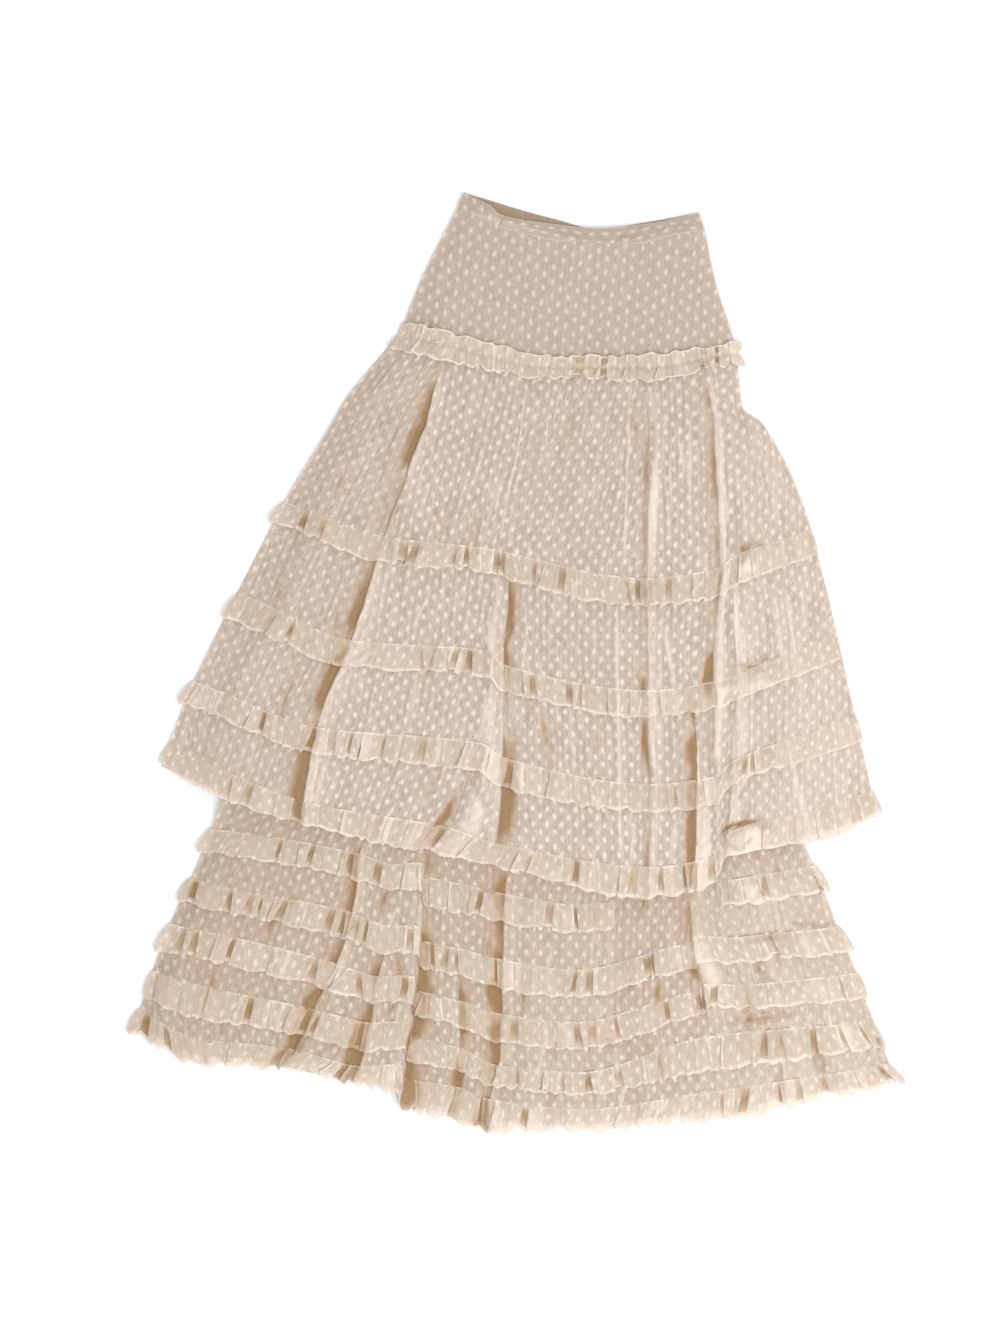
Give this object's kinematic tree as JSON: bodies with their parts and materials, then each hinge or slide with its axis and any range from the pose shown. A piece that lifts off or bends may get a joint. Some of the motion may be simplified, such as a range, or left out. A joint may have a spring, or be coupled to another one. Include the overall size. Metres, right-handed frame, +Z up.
{
  "type": "tiered ruffle skirt",
  "caption": "Long skirt of sheer dotted net laid flat: smooth hip yoke, gathered overskirt and longer underskirt, each with rows of ruffles, over a plain slip.",
  "frame": {"origin": "on the surface that the skirt lies on, under the middle of its bounding box", "axes": "+Y from the hem towards the waist, +X to the right seen from above, +Z up from the surface through the layers"},
  "size_m": [0.979, 1.1779, 0.0352],
  "materials": {
    "dotted_net": "sheer cream net with woven dots, over a nude slip",
    "ruffle_net": "gathered cream net, matte",
    "slip_cloth": "plain nude lining, soft sheen"
  },
  "bodies": {
    "root": {"waistband_front": "dotted_net", "waistband_lap": "dotted_net", "waistband_back": "dotted_net", "yoke_front": "dotted_net", "yoke_back": "dotted_net", "overskirt_front": "dotted_net", "overskirt_back": "dotted_net", "underskirt_front": "dotted_net", "underskirt_back": "dotted_net", "slip_front": "slip_cloth", "slip_back": "slip_cloth", "over_ruffle_1": "ruffle_net", "over_ruffle_2": "ruffle_net", "over_ruffle_3": "ruffle_net", "over_ruffle_4": "ruffle_net", "over_ruffle_5": "ruffle_net", "under_ruffle_1_left": "ruffle_net", "under_ruffle_1_right": "ruffle_net", "under_ruffle_2": "ruffle_net", "under_ruffle_3": "ruffle_net", "under_ruffle_4": "ruffle_net", "under_ruffle_5": "ruffle_net"}
  },
  "joints": []
}
